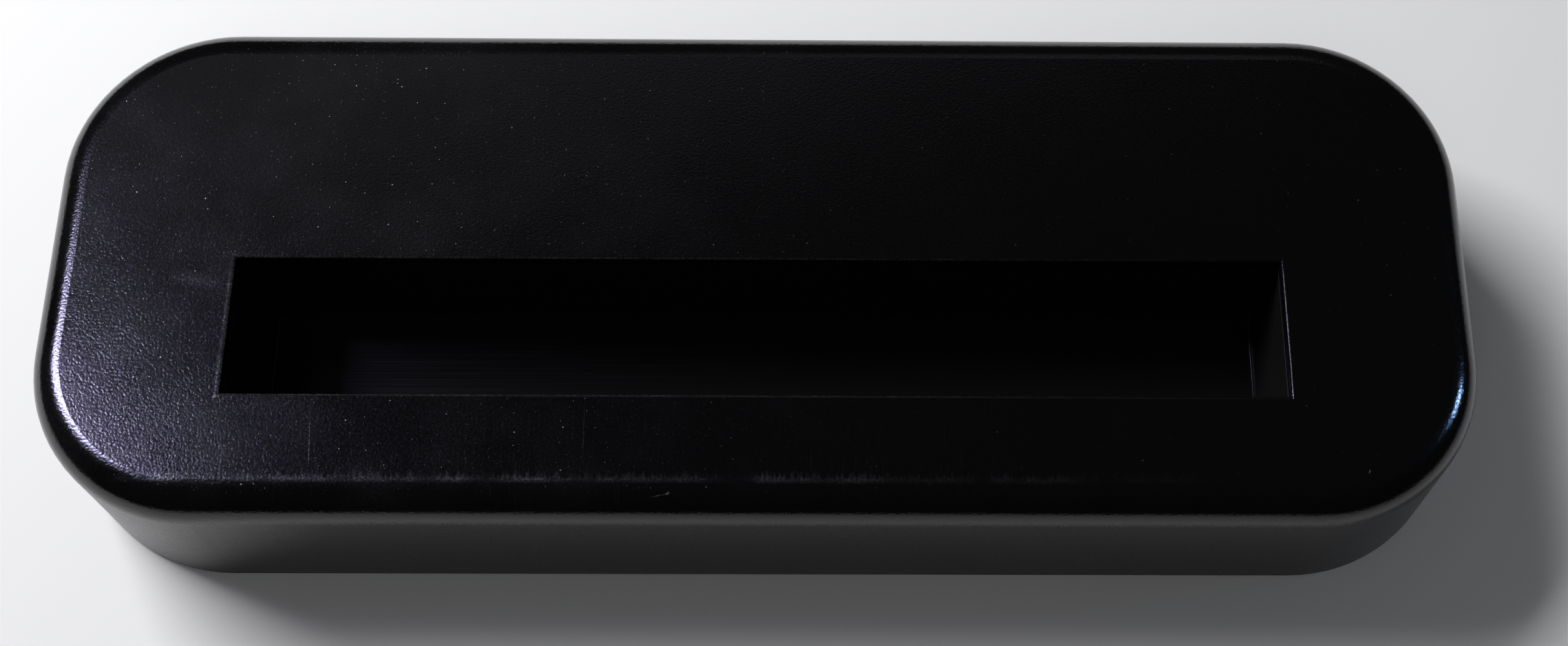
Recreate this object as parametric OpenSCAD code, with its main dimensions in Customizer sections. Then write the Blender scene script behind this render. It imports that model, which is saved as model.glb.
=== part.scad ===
// Passive bench-top trough demagnetizer, in millimetres, +Z up.
// Origin: centre of the outline, on the surface that the feet stand on. X runs along the trough and
// the front is towards -Y. An item is slid along the trough, over a row of magnets under its floor.

/* [Body] */
// Overall length of the shell at its rim
body_l = 405.2; // [335:0.2:490]
// Overall width of the shell at its rim, front to back
body_w = 153.7; // [125:0.1:190]
// Plan corner radius at the rim
corner_r = 49.8; // [30:0.1:60]
// Radius of the round along the top edge
top_round = 10; // [5:0.5:14]
// How far the walls lean in from the rim to the top, in degrees
wall_draft = 3.5; // [0:0.25:5]
// Shell wall thickness
wall_t = 3; // [2:0.1:4]
// Shell roof thickness
roof_t = 3.5; // [2.5:0.1:5]
// Depth of the step in the rim that locates the base plate
rim_step = 1.2; // [0.8:0.1:1.6]

/* [Trough] */
// Length of the trough at the top
trough_l = 291; // [240:1:330]
// Width of the trough at the top
trough_w = 40; // [32:1:50]
// Depth of the trough
trough_depth = 40; // [30:1:55]
// Distance of the trough's back edge in front of the centre line
trough_back = 0; // [-8:0.5:8]
// How far each trough wall leans in at the floor
trough_lean = 1; // [0:0.1:2]
// Radius of the round on the slot's edge in the roof
slot_round = 0.8; // [0.4:0.1:1.5]
// How far the tray's walls stand back from the slot's edge
tray_setback = 0.3; // [0.1:0.1:1]
// Tray wall thickness
tray_wall = 2.5; // [1.5:0.1:3.5]
// Tray floor thickness, which is the gap between magnets and item
tray_floor = 2; // [1:0.1:3]
// Width of the tray's flange outside its walls
flange_w = 7.5; // [7:0.5:12]
// Thickness of the tray's flange
flange_t = 3; // [2:0.1:4]

/* [Magnet pack] */
// Number of magnets in the row
magnet_count = 12; // [8:1:12]
// Length of one magnet along the trough
magnet_l = 18; // [12:0.5:19]
// Width of one magnet across the trough
magnet_w = 34; // [22:0.5:36]
// Thickness of one magnet
magnet_t = 4.5; // [3:0.5:8]
// Corner chamfer of a magnet
magnet_chamfer = 0.6; // [0.2:0.1:1]
// Keeper plate thickness
keeper_t = 1.5; // [1:0.1:3]
// Height of the foam between keeper and base plate
foam_t = 1.5; // [1.4:0.1:4]
// Number of pack screws along each side of the tray
pack_screws_per_side = 3; // [2:1:3]

/* [Base] */
// Base plate thickness
base_t = 2.5; // [2.2:0.1:4]
// Number of base screws along each long side, besides the four at the corners
base_screws_per_side = 2; // [1:1:2]
// Diameter of a rubber foot
foot_d = 16; // [12:0.5:22]
// Height of the feet below the shell's rim
foot_drop = 2; // [1:0.1:4]
// Depth of the recess that a foot is stuck in
foot_recess = 1; // [0.5:0.1:1.2]
// Label length
label_l = 70; // [40:1:90]
// Label width
label_w = 34; // [20:1:50]

/* [Screws] */
// Core diameter of the flange and pack screws
small_screw_d = 2.9; // [2.5:0.1:3.5]
// Head diameter of the flange and pack screws
small_head_d = 7; // [6:0.1:8]
// Diameter of a base screw
base_screw_d = 3; // [2.5:0.1:4]
// Head diameter of a base screw
base_head_d = 6; // [5:0.1:7]
// Outer diameter of the shell's long bosses
boss_d = 9; // [8:0.1:11]
// Outer diameter of a brass insert
insert_d = 5; // [4.5:0.1:5.5]

/* [Clearances] */
// Gap between the base plate and the rim all round
base_gap = 0.3; // [0.1:0.05:0.6]
// Gap round each magnet in its pocket
pocket_gap = 0.2; // [0.1:0.05:0.5]
// Gap between parts that pass each other
part_gap = 0.5; // [0.3:0.1:1]
// Gap of a screw in its clearance hole, on the radius
hole_gap = 0.25; // [0.1:0.05:0.5]

/* [Hidden] */
$fn = 64;
over = 1;                                     // overrun of every cutting solid

// Levels, from the feet up
rim_z = foot_drop;                            // the shell's rim and the base plate's underside
base_top_z = rim_z + base_t;
keeper_z = base_top_z + foam_t;               // underside of the keeper plate
magnet_z = keeper_z + keeper_t;               // underside of the magnets and their carrier
tray_z = magnet_z + magnet_t;                 // underside of the tray's floor
floor_z = tray_z + tray_floor;                // the trough's floor
top_z = floor_z + trough_depth;               // the shell's flat top
roof_z = top_z - roof_t;                      // underside of the roof
flange_z = roof_z - flange_t;                 // underside of the tray's flange

// Plan
corner_x = body_l / 2 - corner_r;             // centres of the corner arcs
corner_y = body_w / 2 - corner_r;
trough_y = -trough_back - trough_w / 2;       // the trough's centre line
floor_l = trough_l - 2 * trough_lean;
floor_w = trough_w - 2 * trough_lean;
tray_l = trough_l + 2 * (tray_setback + tray_wall);
tray_w = trough_w + 2 * (tray_setback + tray_wall);
flange_corner_r = 6;
lip_t = wall_t - rim_step;                    // the shell's wall outside the base plate
inner_round = max(top_round - wall_t, 1);     // round under the roof's edge

// Magnet pack, held up against the tray by screws in pillars on its walls
magnet_pitch = floor_l / magnet_count;
carrier_rim = 3;                              // frame left outside the magnet pockets
pack_w = magnet_w + 2 * carrier_rim;
ear_r = 5;
pillar_r = 3.5;
pillar_bite = 0.5;                            // how far a pillar runs into the tray's wall
pack_screw_y = tray_w / 2 + pillar_r - pillar_bite;
pack_screw_span = 0.8;                        // part of the pack's length that the screws span
pack_xs = [for (i = [0:pack_screws_per_side - 1])
    floor_l * pack_screw_span * (i / (pack_screws_per_side - 1) - 0.5)];
pack_points = [for (x = pack_xs, side = [-1, 1]) [x, trough_y + side * pack_screw_y]];
pack_bite = 10;                               // length of screw in the pillar
wafer_h = 1.2;                                // height of a small screw's flat head
head_bite = 0.2;                              // how far its shank runs into the head
pilot_spare = 2;                              // depth of a pilot hole past its screw's tip

// Hold-down screws, in short bosses along the flange's edge
tag_boss_r = 3;
tag_boss_gap = 0.2;                           // between a short boss and its washer
tag_boss_h = flange_t - tag_boss_gap;
washer_r = 5.5;
washer_t = 1;
tag_skin = 1.2;                               // roof left above a hold-down screw
tag_tip_gap = 0.3;                            // from that screw's tip to the end of its pilot hole
tag_span = 0.58;                              // part of the floor's length that the screws span
tag_xs = [for (i = [0:3]) floor_l * tag_span * (i / 3 - 0.5)];
tag_points = concat(
    [for (x = tag_xs, side = [-1, 1]) [x, trough_y + side * (tray_w / 2 + flange_w)]],
    [for (side = [-1, 1]) [side * (tray_l / 2 + flange_w), trough_y]]);

// Long bosses, which take the base screws
boss_inset = 10;                              // keeps them clear of the shell's inner round
corner_boss_reach = corner_r - wall_t - boss_d / 2 - boss_inset;
side_boss_inset = 6.2;
side_boss_y = body_w / 2 - wall_t - boss_d / 2 - side_boss_inset;
side_boss_span = 0.3;                         // part of the body's length between side bosses
side_boss_xs = [for (i = [0:base_screws_per_side - 1])
    body_l * side_boss_span * (base_screws_per_side == 1 ? 0 : i - 0.5)];
boss_points = concat(
    [for (sx = [-1, 1], sy = [-1, 1])
        [sx * (corner_x + corner_boss_reach * cos(45)), sy * (corner_y + corner_boss_reach * sin(45))]],
    [for (x = side_boss_xs, sy = [-1, 1]) [x, sy * side_boss_y]]);
insert_h = 6;
insert_groove = 0.3;                          // depth of the groove round an insert
groove_h = 0.2;                               // part of an insert's height that the groove takes
screw_past = 1;                               // length of a base screw past its insert
base_screw_l = base_t + insert_h + screw_past;
countersink_h = (base_head_d - base_screw_d) / 2;
head_sink = 0.15;                             // how far a base screw's head lies below the plate

// Ribs that stiffen the shell
rib_t = 2;
roof_rib_h = 8;
boss_rib_drop = 24;
rib_gap = 2;                                  // clear of the washers

foot_h = foot_drop + foot_recess;
foot_shift = [4, 10];                         // from a corner arc's centre to the foot's
foot_x = corner_x + foot_shift[0];
foot_y = corner_y + foot_shift[1];
foot_gap = 0.2;
foot_bevel = 1.5;                             // how far a foot's lower edge slopes in
label_t = 0.3;
label_y = corner_y;
label_corner_r = 3;

magnet_names = [for (i = [1:magnet_count]) str("magnet_", i < 10 ? "0" : "", i)];
foot_names = ["foot_front_left", "foot_front_right", "foot_back_left", "foot_back_right"];
foot_signs = [[-1, -1], [1, -1], [-1, 1], [1, 1]];

module at(points) for (p = points) translate([p[0], p[1], 0]) children();

// Block centred in plan on [0, y], between two levels
module block(l, w, z0, z1, y = 0) translate([-l / 2, y - w / 2, z0]) cube([l, w, z1 - z0]);

module post(r, z0, z1) translate([0, 0, z0]) cylinder(r = r, h = z1 - z0);

// Block with round corners in plan
module round_block(l, w, r, z0, z1, y = 0) {
    block(l - 2 * r, w, z0, z1, y);
    block(l, w - 2 * r, z0, z1, y);
    for (sx = [-1, 1], sy = [-1, 1])
        translate([sx * (l / 2 - r), y + sy * (w / 2 - r), 0]) post(r, z0, z1);
}

// Half section of a wall that leans in and ends in a round; its tangent point is at touch_z
module wall_section(reach, height, round_r) {
    touch_z = height - round_r + round_r * sin(wall_draft);
    touch_x = reach - touch_z * tan(wall_draft);
    arc_x = touch_x - round_r * cos(wall_draft);
    polygon([[0, 0], [reach, 0], [touch_x, touch_z], [arc_x, height - round_r], [arc_x, height],
        [0, height]]);
    translate([arc_x, height - round_r]) circle(round_r);
}

// The shell's outer form, moved inwards by inset, up to the height given
module shell_form(inset, height, round_r) {
    reach = corner_r - inset / cos(wall_draft);
    translate([0, 0, rim_z]) {
        block(2 * corner_x, 2 * corner_y, 0, height);
        for (turn = [0, 180]) rotate(turn) {
            translate([corner_x, corner_y, 0]) rotate([90, 0, 0])
                linear_extrude(2 * corner_y) wall_section(reach, height, round_r);
            translate([-corner_x, corner_y, 0]) rotate([90, 0, 90])
                linear_extrude(2 * corner_x) wall_section(reach, height, round_r);
            translate([corner_x, corner_y, 0]) rotate_extrude(angle = 90)
                wall_section(reach, height, round_r);
            translate([-corner_x, corner_y, 0]) rotate(90) rotate_extrude(angle = 90)
                wall_section(reach, height, round_r);
        }
    }
}

// Opening that grows from one size at z0 to another at z1, with flat sides and sharp corners
module tapered_opening(l0, w0, l1, w1, z0, z1) {
    reach = max(l1, w1);
    intersection() {
        translate([0, reach, 0]) rotate([90, 0, 0]) linear_extrude(2 * reach)
            polygon([[-l0 / 2, z0], [l0 / 2, z0], [l1 / 2, z1], [-l1 / 2, z1]]);
        translate([-reach, 0, 0]) rotate([90, 0, 90]) linear_extrude(2 * reach)
            polygon([[-w0 / 2, z0], [w0 / 2, z0], [w1 / 2, z1], [-w1 / 2, z1]]);
    }
}

// Section of the slot through the roof, with its top edges rounded
module slot_section(w) {
    translate([-w / 2, -roof_t - over]) square([w, roof_t + 2 * over]);
    difference() {
        translate([-w / 2 - slot_round, -slot_round]) square([w + 2 * slot_round, slot_round + over]);
        for (side = [-1, 1]) translate([side * (w / 2 + slot_round), -slot_round]) circle(slot_round);
    }
}

module slot_cut() translate([0, trough_y, top_z]) intersection() {
    translate([0, trough_l, 0]) rotate([90, 0, 0]) linear_extrude(2 * trough_l) slot_section(trough_l);
    translate([-trough_l, 0, 0]) rotate([90, 0, 90]) linear_extrude(2 * trough_l) slot_section(trough_w);
}

// Base plate outline, smaller all round by gap than the step in the rim
module base_outline(gap, z0, z1) {
    inset = lip_t + gap;
    round_block(body_l - 2 * inset, body_w - 2 * inset, corner_r - inset, z0, z1);
}

// Stiffening ribs: short ones across the roof behind the trough, and one from each long boss
module shell_ribs() {
    rib_start = trough_y + tray_w / 2 + flange_w + washer_r + rib_gap;
    for (x = concat(tag_xs, [-corner_x, corner_x]))
        translate([x - rib_t / 2, rib_start, roof_z - roof_rib_h])
            cube([rib_t, body_w / 2 - rib_start, roof_rib_h + over]);
    for (x = side_boss_xs, sy = [-1, 1])
        translate([x, sy * (side_boss_y + wall_t + boss_d / 2 + 2), 0])
            block(rib_t, 2 * (wall_t + boss_d / 2), roof_z - boss_rib_drop, roof_z + over);
    for (sx = [-1, 1], sy = [-1, 1]) translate([sx * corner_x, sy * corner_y, roof_z - boss_rib_drop])
        rotate(atan2(sy, sx)) translate([corner_boss_reach, -rib_t / 2, 0])
            cube([corner_r - corner_boss_reach, rib_t, boss_rib_drop + over]);
}

module top_shell() color([0.06, 0.06, 0.07]) difference() {
    union() {
        difference() {
            shell_form(0, top_z - rim_z, top_round);
            shell_form(wall_t, roof_z - rim_z, inner_round);
            base_outline(0, rim_z - over, base_top_z);
        }
        intersection() {
            shell_form(wall_t / 2, top_z - rim_z - roof_t / 2, top_round - wall_t / 2);
            union() {
                shell_ribs();
                at(boss_points) post(boss_d / 2, base_top_z, roof_z + over);
                at(tag_points) post(tag_boss_r, roof_z - tag_boss_h, roof_z + over);
            }
        }
    }
    slot_cut();
    at(boss_points) {
        post(insert_d / 2, base_top_z - over, base_top_z + insert_h);
        post(base_screw_d / 2 + hole_gap, base_top_z, base_top_z + insert_h + screw_past + pilot_spare);
    }
    at(tag_points) post(small_screw_d / 2, roof_z - tag_boss_h - over, top_z - tag_skin);
}

module trough_tray() color([0.04, 0.04, 0.045]) difference() {
    union() {
        block(tray_l, tray_w, tray_z, roof_z, trough_y);
        intersection() {
            round_block(tray_l + 2 * flange_w, tray_w + 2 * flange_w, flange_corner_r, flange_z, roof_z,
                trough_y);
            shell_form(wall_t + part_gap, roof_z - rim_z, inner_round - part_gap);
        }
        at(pack_points) post(pillar_r, tray_z, flange_z + over);
    }
    translate([0, trough_y, 0]) tapered_opening(floor_l, floor_w, trough_l + 2 * tray_setback,
        trough_w + 2 * tray_setback, floor_z, roof_z);
    block(trough_l + 2 * tray_setback, trough_w + 2 * tray_setback, roof_z - 0.01, roof_z + over,
        trough_y);
    at(tag_points) post(tag_boss_r + part_gap, flange_z - over, roof_z + over);
    at(boss_points) post(boss_d / 2 + part_gap, flange_z - over, roof_z + over);
    at(pack_points) post(small_screw_d / 2, tray_z - over, tray_z + pack_bite + pilot_spare);
}

module base_plate() color([0.07, 0.07, 0.075]) difference() {
    base_outline(base_gap, rim_z, base_top_z);
    at(boss_points) {
        post(base_screw_d / 2 + hole_gap, rim_z - over, base_top_z + over);
        translate([0, 0, rim_z + head_sink]) cylinder(r1 = base_head_d / 2 + hole_gap,
            r2 = base_screw_d / 2 + hole_gap, h = countersink_h);
        post(base_head_d / 2 + hole_gap, rim_z - over, rim_z + head_sink);
    }
    for (s = foot_signs) translate([s[0] * foot_x, s[1] * foot_y, 0])
        post(foot_d / 2 + foot_gap, rim_z - over, rim_z + foot_recess);
    round_block(label_l + 2 * part_gap, label_w + 2 * part_gap, label_corner_r + part_gap,
        rim_z - over, rim_z + label_t, label_y);
}

// Plate as long as the trough's floor, with an ear round each pack screw
module pack_plate(w, z0, z1) difference() {
    union() {
        block(floor_l, w, z0, z1, trough_y);
        for (p = pack_points) {
            translate([p[0], p[1], 0]) post(ear_r, z0, z1);
            translate([p[0], 0, 0]) block(2 * ear_r, abs(p[1] - trough_y), z0, z1, (p[1] + trough_y) / 2);
        }
    }
    at(pack_points) post(small_screw_d / 2 + hole_gap, z0 - over, z1 + over);
}

module at_magnet(i) translate([magnet_pitch * (i - (magnet_count - 1) / 2), trough_y, 0]) children();

module magnet_carrier() color([0.75, 0.74, 0.68]) difference() {
    pack_plate(pack_w, magnet_z, tray_z);
    for (i = [0:magnet_count - 1]) at_magnet(i)
        block(magnet_l + 2 * pocket_gap, magnet_w + 2 * pocket_gap, magnet_z - over, tray_z + over);
}

module magnet(i) color([0.2, 0.2, 0.21]) at_magnet(i) {
    x = magnet_l / 2;
    y = magnet_w / 2;
    c = magnet_chamfer;
    translate([0, 0, magnet_z]) linear_extrude(magnet_t)
        polygon([[x - c, -y], [x, c - y], [x, y - c], [x - c, y], [c - x, y], [-x, y - c], [-x, c - y],
            [c - x, -y]]);
}

module keeper_plate() color([0.6, 0.62, 0.63]) pack_plate(pack_w, keeper_z, magnet_z);

// Cross recess of a screw whose head faces down, cut from z upwards
module cross_recess(size, depth, z) for (turn = [0, 90]) rotate(turn)
    block(size, size / 4, z - over, z + depth);

// Screw with a flat head below its seat, in the thread's core diameter
module small_screw(seat_z, tip_z) difference() {
    union() {
        post(small_head_d / 2, seat_z - wafer_h, seat_z);
        post(small_screw_d / 2, seat_z - head_bite, tip_z);
    }
    cross_recess(small_screw_d, wafer_h / 2, seat_z - wafer_h);
}

module pack_screws() color([0.65, 0.66, 0.68]) at(pack_points) small_screw(keeper_z, tray_z + pack_bite);

module tray_washers() color([0.7, 0.71, 0.72]) at(tag_points) difference() {
    post(washer_r, flange_z - washer_t, flange_z);
    post(small_screw_d / 2 + hole_gap, flange_z - washer_t - over, flange_z + over);
}

module tray_screws() color([0.65, 0.66, 0.68]) at(tag_points)
    small_screw(flange_z - washer_t, top_z - tag_skin - tag_tip_gap);

module base_inserts() color([0.78, 0.62, 0.3]) at(boss_points) difference() {
    post(insert_d / 2, base_top_z, base_top_z + insert_h);
    post(base_screw_d / 2, base_top_z - over, base_top_z + insert_h + over);
    difference() {
        post(insert_d / 2 + over, base_top_z + insert_h * (0.5 - groove_h / 2),
            base_top_z + insert_h * (0.5 + groove_h / 2));
        post(insert_d / 2 - insert_groove, base_top_z, base_top_z + insert_h);
    }
}

module base_screws() color([0.3, 0.3, 0.32]) at(boss_points) difference() {
    union() {
        translate([0, 0, rim_z + head_sink])
            cylinder(r1 = base_head_d / 2, r2 = base_screw_d / 2, h = countersink_h);
        post(base_screw_d / 2, rim_z + head_sink, rim_z + base_screw_l);
    }
    cross_recess(base_screw_d, countersink_h * 0.7, rim_z + head_sink);
}

module base_foam() color([0.25, 0.25, 0.26])
    block(floor_l - 4 * ear_r, magnet_w - 2 * ear_r, base_top_z, keeper_z, trough_y);

// Round rubber foot with a bevelled lower edge, half sunk in its recess
module foot(s) color([0.1, 0.1, 0.1]) translate([s[0] * foot_x, s[1] * foot_y, 0]) rotate_extrude()
    polygon([[0, 0], [foot_d / 2 - foot_bevel, 0], [foot_d / 2, foot_drop * 0.8], [foot_d / 2, foot_h],
        [0, foot_h]]);

module base_label() color([0.75, 0.76, 0.77])
    round_block(label_l, label_w, label_corner_r, rim_z, rim_z + label_t, label_y);

top_shell();
trough_tray();
base_plate();
magnet_carrier();
for (i = [0:magnet_count - 1])
    magnet(i);
keeper_plate();
pack_screws();
tray_washers();
tray_screws();
base_inserts();
base_screws();
base_foam();
for (i = [0:3])
    foot(foot_signs[i]);
base_label();
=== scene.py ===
# Looks of a passive bench-top trough demagnetizer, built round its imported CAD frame.
# Everything is in metres in the CAD frame: X along the trough, front towards -Y, +Z up.
import math

import bpy
from mathutils import Euler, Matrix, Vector


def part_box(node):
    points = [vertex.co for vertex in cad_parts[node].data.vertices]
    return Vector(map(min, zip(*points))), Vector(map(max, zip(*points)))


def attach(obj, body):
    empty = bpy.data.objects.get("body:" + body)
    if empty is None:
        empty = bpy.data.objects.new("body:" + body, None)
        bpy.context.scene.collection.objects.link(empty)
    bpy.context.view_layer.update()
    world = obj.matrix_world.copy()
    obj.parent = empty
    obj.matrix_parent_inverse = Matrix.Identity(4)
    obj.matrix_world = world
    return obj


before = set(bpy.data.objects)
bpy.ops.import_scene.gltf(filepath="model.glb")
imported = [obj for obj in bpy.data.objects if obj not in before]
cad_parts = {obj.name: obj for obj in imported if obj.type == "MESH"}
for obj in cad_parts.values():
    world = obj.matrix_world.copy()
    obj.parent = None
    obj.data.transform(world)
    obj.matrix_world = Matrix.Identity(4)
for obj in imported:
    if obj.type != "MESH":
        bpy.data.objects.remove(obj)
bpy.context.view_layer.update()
bpy.ops.object.select_all(action="DESELECT")

# ---------------------------------------------------------------------------------------------
# Top shell: one injection moulding in black ABS with a satin mould finish. Its roof is open over
# the trough. Items set down on it and slid off to the front have rubbed the slot's lip and the
# edge of the flat top, scratched the front strip, and left dust and hand haze on the rest.


def linear(hex_colour):
    """Linear RGBA of an sRGB hex colour."""
    parts = [int(hex_colour[i:i + 2], 16) / 255 for i in (1, 3, 5)]
    return [c / 12.92 if c <= 0.04045 else ((c + 0.055) / 1.055) ** 2.4 for c in parts] + [1.0]


def new_material(name):
    """A node material and its main shader."""
    material = bpy.data.materials.new(name)
    material.use_nodes = True
    return material, material.node_tree.nodes["Principled BSDF"]


def add_node(material, kind, settings=None, links=None):
    """Adds a shader node. settings holds its attributes, and its inputs by name or number, and
    links says which (node, output) feeds each input."""
    node = material.node_tree.nodes.new("ShaderNode" + kind)
    for key, value in (settings or {}).items():
        if isinstance(key, str) and hasattr(node, key):
            setattr(node, key, value)
        else:
            node.inputs[key].default_value = value
    for key, (source, output) in (links or {}).items():
        material.node_tree.links.new(source.outputs[output], node.inputs[key])
    return node


def set_finish(name, material):
    """Gives a CAD node that one material."""
    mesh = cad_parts[name].data
    mesh.materials.clear()
    mesh.materials.append(material)


MM = 0.001
slot_length, slot_width = 291 * MM, 40 * MM
slot_middle = (0, -slot_width / 2, 0)
flat_front = -64.3 * MM                       # where the flat top meets the round, at the front

satin_abs, shader = new_material("satin_black_abs")
shader.inputs["IOR"].default_value = 1.53
place = add_node(satin_abs, "TexCoord")
plan = add_node(satin_abs, "VectorMath", {"operation": "MULTIPLY", 1: (1, 1, 0)},
                {0: (place, "Object")})
along = add_node(satin_abs, "SeparateXYZ", {}, {0: (plan, 0)})
surface = add_node(satin_abs, "NewGeometry")
tilt = add_node(satin_abs, "SeparateXYZ", {}, {0: (surface, "Normal")})
level = add_node(satin_abs, "MapRange", {"From Min": 0.9, "From Max": 0.995}, {0: (tilt, "Z")})
upward = add_node(satin_abs, "MapRange", {"From Min": 0.25, "From Max": 0.7}, {0: (tilt, "Z")})

# Mould grain of about 0.7 mm, coarser than the real 0.1 mm so that it shows
grain = add_node(satin_abs, "TexNoise", {"Scale": 1 / (0.7 * MM), "Detail": 4},
                 {"Vector": (place, "Object")})
# Hand haze in patches some 40 mm across; leftward weighs its smears and the dust, most at the left
haze = add_node(satin_abs, "TexNoise", {"Scale": 1 / (40 * MM), "Detail": 5, "Roughness": 0.62},
                {"Vector": (plan, 0)})
leftward = add_node(satin_abs, "MapRange",
                    {"From Min": 0.03, "From Max": -0.13, "To Min": 0.05, "To Max": 1.0},
                    {0: (along, "X")})

# Hair scratches that run front to back: thin noise in patches of the front strip, fewer at right
stretched = add_node(satin_abs, "Mapping", {"Scale": (1 / (0.4 * MM), 1 / (9 * MM), 1)},
                     {"Vector": (plan, 0)})
hairs = add_node(satin_abs, "TexNoise", {"Scale": 1, "Detail": 1}, {"Vector": (stretched, 0)})
hair_lines = add_node(satin_abs, "MapRange", {"From Min": 0.6, "From Max": 0.85, "To Max": 0.14},
                      {0: (hairs, "Fac")})
patches = add_node(satin_abs, "TexNoise", {"Scale": 1 / (24 * MM), "Detail": 2},
                   {"Vector": (plan, 0)})
hair_patches = add_node(satin_abs, "MapRange", {"From Min": 0.46, "From Max": 0.7},
                        {0: (patches, "Fac")})
front_strip = add_node(satin_abs, "MapRange",
                       {"From Min": -slot_width, "From Max": -slot_width - 6 * MM, "To Min": 0.03},
                       {0: (along, "Y")})
hair_side = add_node(satin_abs, "MapRange", {"From Min": 0.1, "From Max": 0.0}, {0: (along, "X")})
hair_area = add_node(satin_abs, "Math", {"operation": "MULTIPLY"},
                     {0: (front_strip, 0), 1: (hair_side, 0)})
hair_places = add_node(satin_abs, "Math", {"operation": "MULTIPLY"},
                       {0: (hair_patches, 0), 1: (hair_area, 0)})
hair_scuff = add_node(satin_abs, "Math", {"operation": "MULTIPLY"},
                      {0: (hair_lines, 0), 1: (hair_places, 0)})

# Rubbed lip of the slot, widest on the left, where the item is laid in, and none at the right
from_slot = add_node(satin_abs, "VectorMath", {"operation": "SUBTRACT", 1: slot_middle},
                     {0: (plan, 0)})
beside_slot = add_node(satin_abs, "VectorMath", {"operation": "ABSOLUTE"}, {0: (from_slot, 0)})
past_slot = add_node(satin_abs, "VectorMath",
                     {"operation": "SUBTRACT", 1: (slot_length / 2, slot_width / 2, 0)},
                     {0: (beside_slot, 0)})
outside_slot = add_node(satin_abs, "VectorMath", {"operation": "MAXIMUM", 1: (0, 0, 0)},
                        {0: (past_slot, 0)})
slot_distance = add_node(satin_abs, "VectorMath", {"operation": "LENGTH"}, {0: (outside_slot, 0)})
lip_width = add_node(satin_abs, "MapRange",
                     {"From Min": -slot_length / 2 + 1 * MM, "From Max": -slot_length / 2 - 0.2 * MM,
                      "To Min": 0.7 * MM, "To Max": 1.6 * MM}, {0: (along, "X")})
lip_share = add_node(satin_abs, "Math", {"operation": "DIVIDE"},
                     {0: (slot_distance, "Value"), 1: (lip_width, 0)})
lip_band = add_node(satin_abs, "MapRange", {"From Min": 1.0, "From Max": 0.2},
                    {0: (lip_share, 0)})
lip_patches = add_node(satin_abs, "TexNoise", {"Scale": 1 / (6 * MM), "Detail": 4},
                       {"Vector": (plan, 0)})
lip_wear = add_node(satin_abs, "MapRange",
                    {"From Min": 0.3, "From Max": 0.62, "To Min": 0.1, "To Max": 0.3},
                    {0: (lip_patches, "Fac")})
lip_side = add_node(satin_abs, "MapRange",
                    {"From Min": -slot_length / 2, "From Max": slot_length / 2,
                     "To Min": 1.6, "To Max": 0.0}, {0: (along, "X")})
lip_strength = add_node(satin_abs, "Math", {"operation": "MULTIPLY"},
                        {0: (lip_wear, 0), 1: (lip_side, 0)})
lip_amount = add_node(satin_abs, "Math", {"operation": "MULTIPLY"},
                      {0: (lip_band, 0), 1: (lip_strength, 0)})
lip_scuff = add_node(satin_abs, "Math", {"operation": "MULTIPLY"},
                     {0: (lip_amount, 0), 1: (upward, 0)})

# Rubbed line where the flat top turns down at the front, with short hairs that reach inwards
ragged = add_node(satin_abs, "Mapping", {"Scale": (1 / (0.7 * MM), 1 / (6 * MM), 1)},
                  {"Vector": (plan, 0)})
ragged_noise = add_node(satin_abs, "TexNoise", {"Scale": 1, "Detail": 3}, {"Vector": (ragged, 0)})
edge_reach = add_node(satin_abs, "MapRange",
                      {"From Min": 0.35, "From Max": 0.75, "To Min": 0.5 * MM, "To Max": 4.0 * MM},
                      {0: (ragged_noise, "Fac")})
inside_edge = add_node(satin_abs, "Math", {"operation": "SUBTRACT", 1: flat_front},
                       {0: (along, "Y")})
edge_share = add_node(satin_abs, "Math", {"operation": "DIVIDE"},
                      {0: (inside_edge, 0), 1: (edge_reach, 0)})
edge_fade = add_node(satin_abs, "MapRange", {"From Min": 1.0, "From Max": 0.0},
                     {0: (edge_share, 0)})
edge_stop = add_node(satin_abs, "MapRange", {"From Min": -1.0 * MM, "From Max": 0.4 * MM},
                     {0: (inside_edge, 0)})
edge_band = add_node(satin_abs, "Math", {"operation": "MULTIPLY"},
                     {0: (edge_fade, 0), 1: (edge_stop, 0)})
edge_patches = add_node(satin_abs, "TexNoise",
                        {"noise_dimensions": "1D", "Scale": 1 / (17 * MM), "Detail": 4},
                        {"W": (along, "X")})
edge_wear = add_node(satin_abs, "MapRange",
                     {"From Min": 0.38, "From Max": 0.72, "To Min": 0.03, "To Max": 0.46},
                     {0: (edge_patches, "Fac")})
edge_left = add_node(satin_abs, "MapRange", {"From Min": -176 * MM, "From Max": -150 * MM},
                     {0: (along, "X")})
edge_right = add_node(satin_abs, "MapRange",
                      {"From Min": 125 * MM, "From Max": -130 * MM, "To Max": 1.3},
                      {0: (along, "X")})
edge_run = add_node(satin_abs, "Math", {"operation": "MULTIPLY"},
                    {0: (edge_left, 0), 1: (edge_right, 0)})
edge_amount = add_node(satin_abs, "Math", {"operation": "MULTIPLY"},
                       {0: (edge_band, 0), 1: (edge_wear, 0)})
edge_scuff = add_node(satin_abs, "Math", {"operation": "MULTIPLY"},
                      {0: (edge_amount, 0), 1: (edge_run, 0)})

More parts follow.
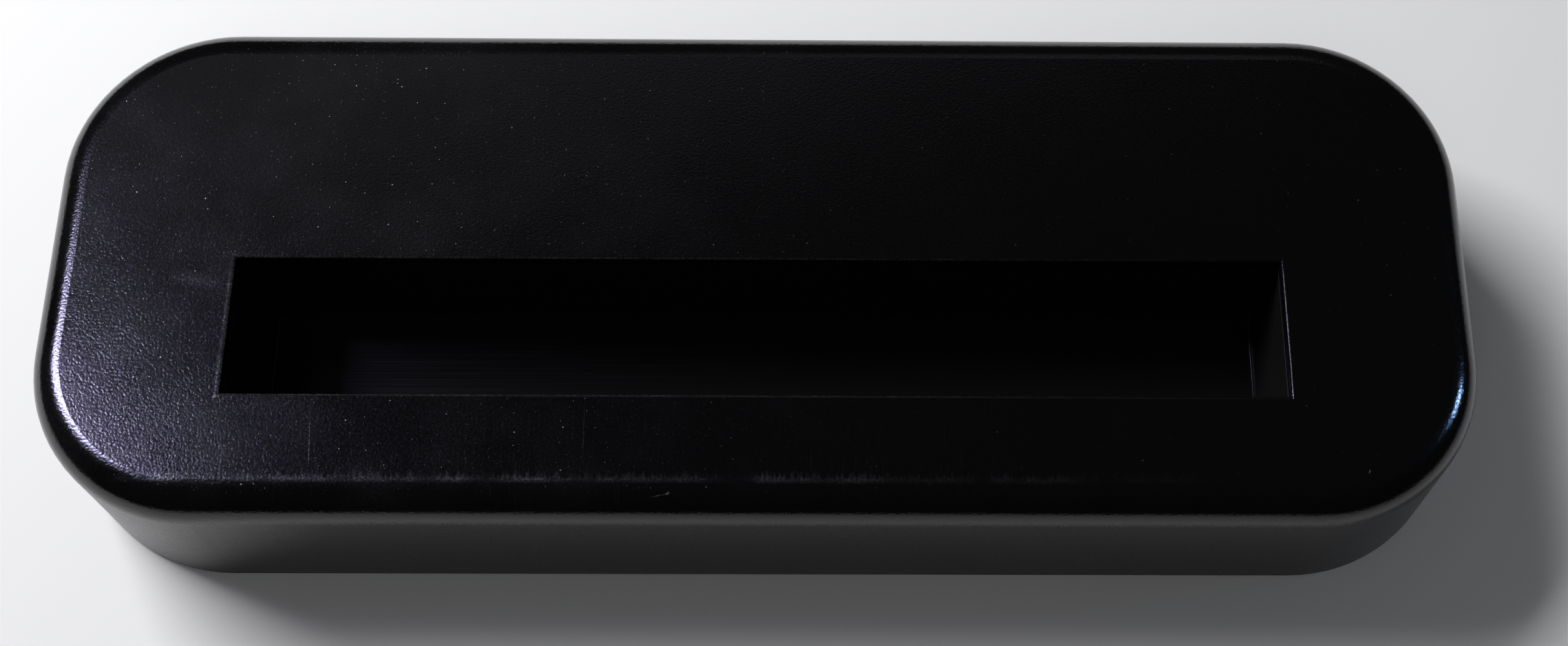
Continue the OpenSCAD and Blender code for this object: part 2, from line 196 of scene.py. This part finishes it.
# Single marks: middle in mm, length and width in mm, turn in degrees, strength, how soft it is. The
# one 43 mm long is a painted highlight, a pale grey line along the round of the slot's lip at the
# right.
marks = [
    ((-119.8, -51.9), 23.0, 0.34, 94, 0.17, 0.6),
    ((-46.5, -51.4), 18.5, 0.34, 91, 0.12, 0.6),
    ((-126.9, -42.9), 7.5, 0.30, 37, 0.22, 0.6),
    ((-25.6, -68.3), 5.2, 0.36, 11, 0.40, 0.6),
    ((-23.4, -67.8), 1.3, 0.7, 30, 1.00, 0.5),
    ((-146.5, -41.0), 1.3, 1.0, 40, 2.00, 0.5),
    ((164.8, -61.3), 1.6, 0.5, 70, 0.50, 0.5),
    # Painted highlight: a pale grey line standing in for the gloss along the slot's right lip
    ((146.0, -20.0), 43.0, 0.40, 90, 1.00, 0.4),
    ((-185.4, 43.7), 7.0, 0.9, -35, 0.10, 1.0),
    ((-155.3, -6.9), 20.0, 6.0, -12, 0.13, 1.0),
    ((-123.0, 16.6), 34.0, 15.0, -8, 0.035, 1.0),
]
# Faint smears of the hand haze, dull enough to show as cloudy patches on the left
smears = add_node(satin_abs, "MapRange",
                  {"From Min": 0.45, "From Max": 0.72, "To Max": 0.05}, {0: (haze, "Fac")})
smear_scuff = add_node(satin_abs, "Math", {"operation": "MULTIPLY"},
                       {0: (smears, 0), 1: (leftward, 0)})
scuff_and_highlight = hair_scuff
for layer in (lip_scuff, edge_scuff, smear_scuff):
    scuff_and_highlight = add_node(satin_abs, "Math", {"operation": "MAXIMUM"}, {0: (scuff_and_highlight, 0), 1: (layer, 0)})
for (mark_x, mark_y), length, width, turn, strength, softness in marks:
    local = add_node(satin_abs, "Mapping",
                     {"vector_type": "TEXTURE", "Location": (mark_x * MM, mark_y * MM, 0),
                      "Rotation": (0, 0, math.radians(turn)),
                      "Scale": (length / 2 * MM, width / 2 * MM, 1)}, {"Vector": (plan, 0)})
    reach = add_node(satin_abs, "VectorMath", {"operation": "LENGTH"}, {0: (local, 0)})
    mark = add_node(satin_abs, "MapRange",
                    {"From Min": 1.0, "From Max": 1.0 - softness, "To Max": strength},
                    {"Value": (reach, "Value")})
    scuff_and_highlight = add_node(satin_abs, "Math", {"operation": "MAXIMUM"}, {0: (scuff_and_highlight, 0), 1: (mark, 0)})
# The rubbing only takes the tops of the grain, so every mark is broken up into fine speckle; so is
# the painted highlight line.
speckle_noise = add_node(satin_abs, "TexNoise", {"Scale": 1 / (0.7 * MM), "Detail": 2},
                         {"Vector": (plan, 0)})
speckle = add_node(satin_abs, "MapRange",
                   {"From Min": 0.38, "From Max": 0.66, "To Min": 0.35, "To Max": 1.3},
                   {0: (speckle_noise, "Fac")})
scuff_and_highlight = add_node(satin_abs, "Math", {"operation": "MULTIPLY"}, {0: (scuff_and_highlight, 0), 1: (speckle, 0)})

# Dust that has settled on the top: scattered specks, and finer dust between them
dust = None
dust_sizes = [(6.5, 0.27, 7, 0.12), (3.1, 0.19, 6, 0.05), (1.3, 0.12, 5, 0.02)]
for spacing, largest, power, lowest in dust_sizes:
    cells = add_node(satin_abs, "TexVoronoi",
                     {"voronoi_dimensions": "2D", "Scale": 1 / (spacing * MM)},
                     {"Vector": (plan, 0)})
    chance = add_node(satin_abs, "SeparateColor", {}, {0: (cells, "Color")})
    rare = add_node(satin_abs, "Math", {"operation": "POWER", 1: power}, {0: (chance, 0)})
    radius = add_node(satin_abs, "Math", {"operation": "MULTIPLY", 1: largest / spacing},
                      {0: (rare, 0)})
    inside = add_node(satin_abs, "Math", {"operation": "SUBTRACT"},
                      {0: (radius, 0), 1: (cells, "Distance")})
    speck = add_node(satin_abs, "MapRange", {"From Max": 0.12 / spacing}, {0: (inside, 0)})
    weight = add_node(satin_abs, "Math", {"operation": "MAXIMUM", 1: lowest}, {0: (leftward, 0)})
    shown = add_node(satin_abs, "Math", {"operation": "MULTIPLY"}, {0: (speck, 0), 1: (weight, 0)})
    dust = shown if dust is None else add_node(
        satin_abs, "Math", {"operation": "MAXIMUM"}, {0: (dust, 0), 1: (shown, 0)})
dust_on_top = add_node(satin_abs, "Math", {"operation": "MULTIPLY"}, {0: (dust, 0), 1: (level, 0)})

# Rubbed black turns grey, and the dust lies over it. The same grey paints the highlight on the
# slot's right lip.
worn_and_highlight = add_node(satin_abs, "Mix", {"data_type": "RGBA", 6: linear("#050506"), 7: linear("#56565c")},
                {0: (scuff_and_highlight, 0)})
dusty = add_node(satin_abs, "Mix", {"data_type": "RGBA", 7: linear("#8f8d8c")},
                 {0: (dust_on_top, 0), 6: (worn_and_highlight, 2)})
haze_rough = add_node(satin_abs, "MapRange",
                      {"From Min": 0.3, "From Max": 0.75, "To Min": 0.125, "To Max": 0.165},
                      {0: (haze, "Fac")})
grain_rough = add_node(satin_abs, "MapRange",
                       {"From Min": 0.3, "From Max": 0.7, "To Min": -0.045, "To Max": 0.055},
                       {0: (grain, "Fac")})
# Hands that lift and turn the unit have polished the round along its top edge
round_share = add_node(satin_abs, "Math", {"operation": "SUBTRACT"},
                       {0: (upward, 0), 1: (level, 0)})
polished_rough = add_node(satin_abs, "Math", {"operation": "MULTIPLY_ADD", 1: -0.038},
                          {0: (round_share, 0), 2: (haze_rough, 0)})
# The walls are rubbed less than the top and keep the coarser spark finish of the mould
wall_rough = add_node(satin_abs, "MapRange",
                      {"From Min": 0.4, "From Max": 0.1, "To Max": 0.16}, {0: (tilt, "Z")})
upright_rough = add_node(satin_abs, "Math", {"operation": "ADD"},
                         {0: (polished_rough, 0), 1: (wall_rough, 0)})
clean_rough = add_node(satin_abs, "Math", {"operation": "ADD"},
                       {0: (upright_rough, 0), 1: (grain_rough, 0)})
# Rubbing and dust dull the finish, and rubbing raises the grain a little
rub = add_node(satin_abs, "Math", {"operation": "MAXIMUM"}, {0: (scuff_and_highlight, 0), 1: (dust_on_top, 0)})
finish = add_node(satin_abs, "Math", {"operation": "MULTIPLY_ADD", 1: 0.3},
                  {0: (rub, 0), 2: (clean_rough, 0)})
relief = add_node(satin_abs, "Math", {"operation": "MULTIPLY_ADD", 1: 0.8},
                  {0: (scuff_and_highlight, 0), 2: (grain, "Fac")})
bump = add_node(satin_abs, "Bump", {"Strength": 0.55, "Distance": 0.1 * MM},
                {"Height": (relief, 0)})
for socket, (source, output) in {"Base Color": (dusty, 2), "Roughness": (finish, 0),
                                 "Normal": (bump, 0)}.items():
    satin_abs.node_tree.links.new(source.outputs[output], shader.inputs[socket])
set_finish("top_shell", satin_abs)

# ---------------------------------------------------------------------------------------------
# Trough tray: one black ABS moulding with a flange that is screwed up under the roof. It is a
# little duller than gloss, and items slid along it have polished it in fine lengthwise lines.
tray_abs, shader = new_material("rubbed_black_abs")
shader.inputs["IOR"].default_value = 1.53
shader.inputs["Specular IOR Level"].default_value = 0.35
place = add_node(tray_abs, "TexCoord")
slid = add_node(tray_abs, "Mapping",
                {"Scale": (1 / (60 * MM), 1 / (0.5 * MM), 1 / (0.5 * MM))},
                {"Vector": (place, "Object")})
lines = add_node(tray_abs, "TexNoise", {"Scale": 1, "Detail": 2}, {"Vector": (slid, 0)})
line_colour = add_node(tray_abs, "MapRange", {"From Min": 0.62, "From Max": 0.8},
                       {0: (lines, "Fac")})
blend = add_node(tray_abs, "Mix",
                 {"data_type": "RGBA", 6: linear("#131313"), 7: linear("#191817")},
                 {0: (line_colour, 0)})
line_rough = add_node(tray_abs, "MapRange",
                      {"From Min": 0.3, "From Max": 0.7, "To Min": 0.15, "To Max": 0.21},
                      {0: (lines, "Fac")})
grain = add_node(tray_abs, "TexNoise", {"Scale": 1 / (0.5 * MM), "Detail": 3},
                 {"Vector": (place, "Object")})
bump = add_node(tray_abs, "Bump", {"Strength": 0.06, "Distance": 0.1 * MM},
                {"Height": (grain, "Fac")})
for socket, (source, output) in {"Base Color": (blend, 2), "Roughness": (line_rough, 0),
                                 "Normal": (bump, 0)}.items():
    tray_abs.node_tree.links.new(source.outputs[output], shader.inputs[socket])
set_finish("trough_tray", tray_abs)

# ---------------------------------------------------------------------------------------------
# Seam bead: a thin run of clear sealer wiped up the corners and along the floor at each end of the
# tray, so that dust does not lodge there. It dried glossy, so it draws a fine pale line.
bead_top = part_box("trough_tray")[1].z
tray_floor = 14 * MM                          # height of the trough's floor
lean = 1 * MM                                 # how far each wall leans in by the floor
setback = 0.3 * MM                            # the tray's mouth stands this far outside the slot
bead_size = 0.45 * MM
bead_film = 0.12 * MM
wall_area = 100 * MM * MM                     # a larger face is the trough's own, not the bead's
floor_length, floor_width = slot_length - 2 * lean, slot_width - 2 * lean
mouth_length, mouth_width = slot_length + 2 * setback, slot_width + 2 * setback
bpy.ops.mesh.primitive_cube_add(size=1)
bead = bpy.context.object
bead.name = "seam_bead"
mesh = bead.data
for vertex in mesh.vertices:
    top = vertex.co.z > 0
    length, width = (mouth_length, mouth_width) if top else (floor_length, floor_width)
    vertex.co = ((1 if vertex.co.x > 0 else -1) * length / 2,
                 slot_middle[1] + (1 if vertex.co.y > 0 else -1) * width / 2,
                 bead_top if top else tray_floor)
bpy.ops.object.mode_set(mode="EDIT")
bpy.ops.mesh.select_all(action="DESELECT")
bpy.ops.object.mode_set(mode="OBJECT")
for edge in mesh.edges:
    edge.select = not all(mesh.vertices[v].co.z > tray_floor + lean for v in edge.vertices)
bpy.ops.object.mode_set(mode="EDIT")
bpy.ops.mesh.select_mode(type="EDGE")
bpy.ops.mesh.bevel(offset=bead_size, segments=5, profile=0.5)
bpy.ops.mesh.select_mode(type="FACE")
bpy.ops.mesh.select_all(action="DESELECT")
bpy.ops.object.mode_set(mode="OBJECT")
for polygon in mesh.polygons:
    from_end = floor_length / 2 - abs(polygon.center.x)
    polygon.select = polygon.area > wall_area or from_end > 2 * bead_size
bpy.ops.object.mode_set(mode="EDIT")
bpy.ops.mesh.delete(type="FACE")
bpy.ops.object.mode_set(mode="OBJECT")
film = bead.modifiers.new("film", "SOLIDIFY")
film.thickness = bead_film
film.offset = -1
bpy.ops.object.modifier_apply(modifier="film")
bpy.ops.object.shade_smooth_by_angle(angle=math.radians(40))

bead_sealer, shader = new_material("dried_clear_sealer")
shader.inputs["Base Color"].default_value = linear("#1e1e20")
shader.inputs["Roughness"].default_value = 0.16
shader.inputs["IOR"].default_value = 1.53
place = add_node(bead_sealer, "TexCoord")
ripple = add_node(bead_sealer, "TexNoise", {"Scale": 1 / (4 * MM), "Detail": 3},
                  {"Vector": (place, "Object")})
bump = add_node(bead_sealer, "Bump", {"Strength": 0.25, "Distance": 0.15 * MM},
                {"Height": (ripple, "Fac")})
bead_sealer.node_tree.links.new(bump.outputs[0], shader.inputs["Normal"])
mesh.materials.append(bead_sealer)
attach(bead, "root")

# ---------------------------------------------------------------------------------------------
# Base plate: a flat black ABS moulding with a fine spark-eroded texture. It is set inside the rim
# and held by eight countersunk screws.
eroded_abs, shader = new_material("spark_eroded_black_abs")
shader.inputs["IOR"].default_value = 1.53
place = add_node(eroded_abs, "TexCoord")
# Spark pits of about 0.35 mm, a little coarser than real so that they show
pits = add_node(eroded_abs, "TexNoise", {"Scale": 1 / (0.35 * MM), "Detail": 4},
                {"Vector": (place, "Object")})
shade = add_node(eroded_abs, "Mix",
                 {"data_type": "RGBA", 6: linear("#131314"), 7: linear("#1f1f21")},
                 {0: (pits, "Fac")})
dull = add_node(eroded_abs, "MapRange", {"To Min": 0.5, "To Max": 0.75}, {0: (pits, "Fac")})
bump = add_node(eroded_abs, "Bump", {"Strength": 0.35, "Distance": 0.12 * MM},
                {"Height": (pits, "Fac")})
for socket, (source, output) in {"Base Color": (shade, 2), "Roughness": (dull, 0),
                                 "Normal": (bump, 0)}.items():
    eroded_abs.node_tree.links.new(source.outputs[output], shader.inputs[socket])
set_finish("base_plate", eroded_abs)

# ---------------------------------------------------------------------------------------------
# Magnets: twelve sintered ferrite blocks, ground flat on their two large faces. Charcoal grey and
# dull, with a fine crystalline speckle and faint grinding lines.
ferrite, shader = new_material("ground_ferrite")
shader.inputs["IOR"].default_value = 2.4
place = add_node(ferrite, "TexCoord")
crystals = add_node(ferrite, "TexVoronoi", {"Scale": 1 / (0.4 * MM)}, {"Vector": (place, "Object")})
shade = add_node(ferrite, "Mix",
                 {"data_type": "RGBA", 6: linear("#2b2c2e"), 7: linear("#46474a")},
                 {0: (crystals, "Distance")})
ground = add_node(ferrite, "Mapping",
                  {"Scale": (1 / (20 * MM), 1 / (0.25 * MM), 1 / (0.25 * MM))},
                  {"Vector": (place, "Object")})
wheel_lines = add_node(ferrite, "TexNoise", {"Scale": 1, "Detail": 2}, {"Vector": (ground, 0)})
bump = add_node(ferrite, "Bump", {"Strength": 0.2, "Distance": 0.05 * MM},
                {"Height": (wheel_lines, "Fac")})
dull = add_node(ferrite, "MapRange", {"To Min": 0.4, "To Max": 0.65}, {0: (wheel_lines, "Fac")})
for socket, (source, output) in {"Base Color": (shade, 2), "Roughness": (dull, 0),
                                 "Normal": (bump, 0)}.items():
    ferrite.node_tree.links.new(source.outputs[output], shader.inputs[socket])
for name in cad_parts:
    if name.startswith("magnet_") and name != "magnet_carrier":
        set_finish(name, ferrite)

# ---------------------------------------------------------------------------------------------
# Magnet carrier: a frame milled from natural nylon sheet. Ivory, waxy and a little translucent,
# with the cutter's fine marks.
natural_nylon, shader = new_material("natural_nylon")
shader.inputs["IOR"].default_value = 1.53
shader.inputs["Subsurface Weight"].default_value = 0.2
shader.inputs["Subsurface Radius"].default_value = (2 * MM, 1.6 * MM, 1.1 * MM)
shader.inputs["Subsurface Scale"].default_value = 1
place = add_node(natural_nylon, "TexCoord")
cloud = add_node(natural_nylon, "TexNoise", {"Scale": 1 / (9 * MM), "Detail": 4},
                 {"Vector": (place, "Object")})
shade = add_node(natural_nylon, "Mix",
                 {"data_type": "RGBA", 6: linear("#d8d0b8"), 7: linear("#e6e0cd")},
                 {0: (cloud, "Fac")})
milled = add_node(natural_nylon, "TexWave", {"Scale": 1 / (12 * MM), "Distortion": 0.6},
                  {"Vector": (place, "Object")})
bump = add_node(natural_nylon, "Bump", {"Strength": 0.12, "Distance": 0.05 * MM},
                {"Height": (milled, "Fac")})
waxy = add_node(natural_nylon, "MapRange", {"To Min": 0.38, "To Max": 0.52}, {0: (cloud, "Fac")})
for socket, (source, output) in {"Base Color": (shade, 2), "Roughness": (waxy, 0),
                                 "Normal": (bump, 0)}.items():
    natural_nylon.node_tree.links.new(source.outputs[output], shader.inputs[socket])
set_finish("magnet_carrier", natural_nylon)

# ---------------------------------------------------------------------------------------------
# Keeper plate, washers and the tray's and pack's screws: mild steel with bright zinc plate, a
# cool grey metal with faint clouding from the passivation bath.
zinc_plate, shader = new_material("bright_zinc_plate")
shader.inputs["Metallic"].default_value = 1
place = add_node(zinc_plate, "TexCoord")
cloud = add_node(zinc_plate, "TexNoise", {"Scale": 1 / (6 * MM), "Detail": 4},
                 {"Vector": (place, "Object")})
shade = add_node(zinc_plate, "Mix",
                 {"data_type": "RGBA", 6: linear("#b4bbc2"), 7: linear("#cbc9bf")},
                 {0: (cloud, "Fac")})
bath = add_node(zinc_plate, "MapRange", {"To Min": 0.22, "To Max": 0.42}, {0: (cloud, "Fac")})
rolled = add_node(zinc_plate, "TexNoise", {"Scale": 1 / (0.3 * MM), "Detail": 2},
                  {"Vector": (place, "Object")})
bump = add_node(zinc_plate, "Bump", {"Strength": 0.1, "Distance": 0.04 * MM},
                {"Height": (rolled, "Fac")})
for socket, (source, output) in {"Base Color": (shade, 2), "Roughness": (bath, 0),
                                 "Normal": (bump, 0)}.items():
    zinc_plate.node_tree.links.new(source.outputs[output], shader.inputs[socket])
for name in ("keeper_plate", "tray_washers", "tray_screws", "pack_screws"):
    set_finish(name, zinc_plate)

# ---------------------------------------------------------------------------------------------
# Base inserts: turned brass with a knurl, melted into the long bosses. Yellow metal, bright on the
# knurl's ridges.
turned_brass, shader = new_material("turned_brass")
shader.inputs["Metallic"].default_value = 1
place = add_node(turned_brass, "TexCoord")
knurl = None
for lean_way in (1, -1):
    crossed = add_node(turned_brass, "Mapping",
                       {"Rotation": (0, math.radians(45 * lean_way), math.radians(45))},
                       {"Vector": (place, "Object")})
    ridges = add_node(turned_brass, "TexWave", {"Scale": 1 / (10 * MM)}, {"Vector": (crossed, 0)})
    knurl = ridges if knurl is None else add_node(
        turned_brass, "Math", {"operation": "MULTIPLY"}, {0: (knurl, 0), 1: (ridges, "Fac")})
shade = add_node(turned_brass, "Mix",
                 {"data_type": "RGBA", 6: linear("#a98343"), 7: linear("#d9b56c")},
                 {0: (knurl, 0)})
bump = add_node(turned_brass, "Bump", {"Strength": 0.5, "Distance": 0.15 * MM},
                {"Height": (knurl, 0)})
bright = add_node(turned_brass, "MapRange", {"To Min": 0.38, "To Max": 0.22}, {0: (knurl, 0)})
for socket, (source, output) in {"Base Color": (shade, 2), "Roughness": (bright, 0),
                                 "Normal": (bump, 0)}.items():
    turned_brass.node_tree.links.new(source.outputs[output], shader.inputs[socket])
set_finish("base_inserts", turned_brass)

# ---------------------------------------------------------------------------------------------
# Base screws: countersunk steel screws with a black oxide finish, rubbed a little browner and
# shinier where the driver has turned in the recess.
black_oxide, shader = new_material("black_oxide_steel")
shader.inputs["Metallic"].default_value = 1
place = add_node(black_oxide, "TexCoord")
oxide = add_node(black_oxide, "TexNoise", {"Scale": 1 / (1.2 * MM), "Detail": 4},
                 {"Vector": (place, "Object")})
shade = add_node(black_oxide, "Mix",
                 {"data_type": "RGBA", 6: linear("#1f2022"), 7: linear("#3a3733")},
                 {0: (oxide, "Fac")})
oiled = add_node(black_oxide, "MapRange", {"To Min": 0.28, "To Max": 0.5}, {0: (oxide, "Fac")})
for socket, (source, output) in {"Base Color": (shade, 2), "Roughness": (oiled, 0)}.items():
    black_oxide.node_tree.links.new(source.outputs[output], shader.inputs[socket])
set_finish("base_screws", black_oxide)

# ---------------------------------------------------------------------------------------------
# Base foam: a strip of closed-cell polyethylene foam that keeps the keeper plate from rattling.
# Dead matt charcoal with cells just under a millimetre across.
cell_foam, shader = new_material("closed_cell_foam")
shader.inputs["IOR"].default_value = 1.5
place = add_node(cell_foam, "TexCoord")
cells = add_node(cell_foam, "TexVoronoi", {"Scale": 1 / (0.8 * MM)}, {"Vector": (place, "Object")})
shade = add_node(cell_foam, "Mix",
                 {"data_type": "RGBA", 6: linear("#232324"), 7: linear("#3d3d40")},
                 {0: (cells, "Distance")})
bump = add_node(cell_foam, "Bump", {"Strength": 0.6, "Distance": 0.25 * MM, "invert": True},
                {"Height": (cells, "Distance")})
dull = add_node(cell_foam, "MapRange", {"To Min": 0.85, "To Max": 1.0}, {0: (cells, "Distance")})
for socket, (source, output) in {"Base Color": (shade, 2), "Roughness": (dull, 0),
                                 "Normal": (bump, 0)}.items():
    cell_foam.node_tree.links.new(source.outputs[output], shader.inputs[socket])
set_finish("base_foam", cell_foam)

# ---------------------------------------------------------------------------------------------
# Feet: four moulded rubber discs stuck in recesses of the base plate. Dull black, greyed where
# bench dust has been pressed into them.
foot_rubber, shader = new_material("moulded_rubber")
shader.inputs["IOR"].default_value = 1.52
place = add_node(foot_rubber, "TexCoord")
scuffing = add_node(foot_rubber, "TexNoise", {"Scale": 1 / (3 * MM), "Detail": 6},
                    {"Vector": (place, "Object")})
pressed = add_node(foot_rubber, "MapRange", {"From Min": 0.5, "From Max": 0.75, "To Max": 0.6},
                   {0: (scuffing, "Fac")})
shade = add_node(foot_rubber, "Mix",
                 {"data_type": "RGBA", 6: linear("#141414"), 7: linear("#45433f")},
                 {0: (pressed, 0)})
bump = add_node(foot_rubber, "Bump", {"Strength": 0.25, "Distance": 0.1 * MM},
                {"Height": (scuffing, "Fac")})
dull = add_node(foot_rubber, "MapRange", {"To Min": 0.7, "To Max": 0.95}, {0: (scuffing, "Fac")})
for socket, (source, output) in {"Base Color": (shade, 2), "Roughness": (dull, 0),
                                 "Normal": (bump, 0)}.items():
    foot_rubber.node_tree.links.new(source.outputs[output], shader.inputs[socket])
for name in ("foot_front_left", "foot_front_right", "foot_back_left", "foot_back_right"):
    set_finish(name, foot_rubber)

# ---------------------------------------------------------------------------------------------
# Base label: a blank satin silver polyester label, sunk flush in the underside, with only a thin
# dark border line printed on it.
label_low, label_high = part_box("base_label")
label_middle = (label_low + label_high) / 2
border_inset, border_width = 2 * MM, 0.5 * MM
label_film, shader = new_material("satin_polyester_film")
shader.inputs["Metallic"].default_value = 0.35
shader.inputs["IOR"].default_value = 1.57
place = add_node(label_film, "TexCoord")
centred = add_node(label_film, "VectorMath",
                   {"operation": "SUBTRACT", 1: (label_middle.x, label_middle.y, 0)},
                   {0: (place, "Object")})
folded = add_node(label_film, "VectorMath", {"operation": "ABSOLUTE"}, {0: (centred, 0)})
half_label = (label_high - label_low) / 2
margins = add_node(label_film, "VectorMath",
                   {"operation": "SUBTRACT", 0: (half_label.x, half_label.y, 1)},
                   {1: (folded, 0)})
margin = add_node(label_film, "SeparateXYZ", {}, {0: (margins, 0)})
nearest = add_node(label_film, "Math", {"operation": "MINIMUM"},
                   {0: (margin, "X"), 1: (margin, "Y")})
off_line = add_node(label_film, "Math", {"operation": "SUBTRACT", 1: border_inset},
                    {0: (nearest, 0)})
off_line_size = add_node(label_film, "Math", {"operation": "ABSOLUTE"}, {0: (off_line, 0)})
border = add_node(label_film, "Math", {"operation": "LESS_THAN", 1: border_width / 2},
                  {0: (off_line_size, 0)})
brushed = add_node(label_film, "Mapping",
                   {"Scale": (1 / (12 * MM), 1 / (0.2 * MM), 1)}, {"Vector": (place, "Object")})
brush_lines = add_node(label_film, "TexNoise", {"Scale": 1, "Detail": 2}, {"Vector": (brushed, 0)})
silver = add_node(label_film, "Mix",
                  {"data_type": "RGBA", 6: linear("#b3b5b8"), 7: linear("#c9cacc")},
                  {0: (brush_lines, "Fac")})
shade = add_node(label_film, "Mix", {"data_type": "RGBA", 7: linear("#26272a")},
                 {0: (border, 0), 6: (silver, 2)})
dull = add_node(label_film, "MapRange", {"To Min": 0.35, "To Max": 0.5}, {0: (brush_lines, "Fac")})
for socket, (source, output) in {"Base Color": (shade, 2), "Roughness": (dull, 0)}.items():
    label_film.node_tree.links.new(source.outputs[output], shader.inputs[socket])
set_finish("base_label", label_film)

# ---------------------------------------------------------------------------------------------
# Bench, light and camera: a plain pale bench top in soft daylight. The gloss mirrors a tall window
# behind on the left, the dim room behind and small blue lights on the right. It does not mirror
# the daylight, the wash and the front fill.
bench_size = 60                               # in metres, so wide that its edge is far off
bpy.ops.mesh.primitive_plane_add(size=bench_size)
bench = bpy.context.object
bench.name = "bench_top"
pale, shader = new_material("pale_bench")
shader.inputs["Base Color"].default_value = linear("#ebebec")
shader.inputs["Roughness"].default_value = 0.7
bench.data.materials.append(pale)


def soft_light(name, aim, heading, rise, distance, size, power, colour):
    """A rectangular area light, seen from aim at that heading and rise in degrees, facing it."""
    data = bpy.data.lights.new(name, "AREA")
    data.shape = "RECTANGLE"
    data.size, data.size_y = size
    data.energy = power
    data.color = linear(colour)[:3]
    lamp = bpy.data.objects.new(name, data)
    bpy.context.scene.collection.objects.link(lamp)
    turn, tip = math.radians(heading), math.radians(rise)
    ray = Vector((math.cos(tip) * math.cos(turn), math.cos(tip) * math.sin(turn), math.sin(tip)))
    lamp.location = Vector(aim) + distance * ray
    lamp.rotation_euler = ray.to_track_quat("Z", "Y").to_euler()
    return lamp


left_edge, right_edge = (-0.190, -0.030, 0.054), (0.191, -0.041, 0.053)
window = soft_light("window", left_edge, 155.3, 52.5, 1.5, (0.13, 0.47), 16, "#d4d0ff")
window.visible_diffuse = False
daylight = soft_light("daylight", (0, 0, 0), 140, 43, 1.7, (0.9, 0.5), 36, "#ffffff")
daylight.visible_glossy = False
wash = soft_light("wash", (0, 0, 0), 90, 80, 6, (8, 8), 18, "#ffffff")
wash.visible_glossy = False
room = soft_light("room_behind", (0, 0, 0), 112, 54, 1.8, (2.3, 0.4), 0.58, "#f4f4ff")
room.visible_diffuse = False
front_fill = soft_light("front_fill", (0, 0, 0), 265, 55, 1.6, (0.8, 0.5), 1.9, "#ffffff")
front_fill.visible_glossy = False
glint = soft_light("glint", right_edge, 9, 33, 0.9, (0.03, 0.03), 1.9, "#9cc8ff")
glint.visible_diffuse = False
blue_panel = soft_light("blue_panel", right_edge, 9, 33, 0.9, (0.18, 0.18), 0.12, "#2b46d8")
blue_panel.visible_diffuse = False

world = bpy.data.worlds.new("dim_room")
world.use_nodes = True
world.node_tree.nodes["Background"].inputs["Color"].default_value = linear("#ffffff")
world.node_tree.nodes["Background"].inputs["Strength"].default_value = 0.02
bpy.context.scene.world = world
bpy.context.scene.view_settings.view_transform = "Standard"

camera = bpy.data.objects.new("camera", bpy.data.cameras.new("camera"))
bpy.context.scene.collection.objects.link(camera)
camera.location = (0.0243, -0.2100, 0.5283)
camera.rotation_mode = "ZXY"
camera.rotation_euler = Euler((0.3482, -0.0145, -0.0013), "ZXY")
camera.data.sensor_width = 36
camera.data.lens = 42.6
camera.data.shift_x = -0.0563
camera.data.shift_y = 0.0412
bpy.context.scene.camera = camera
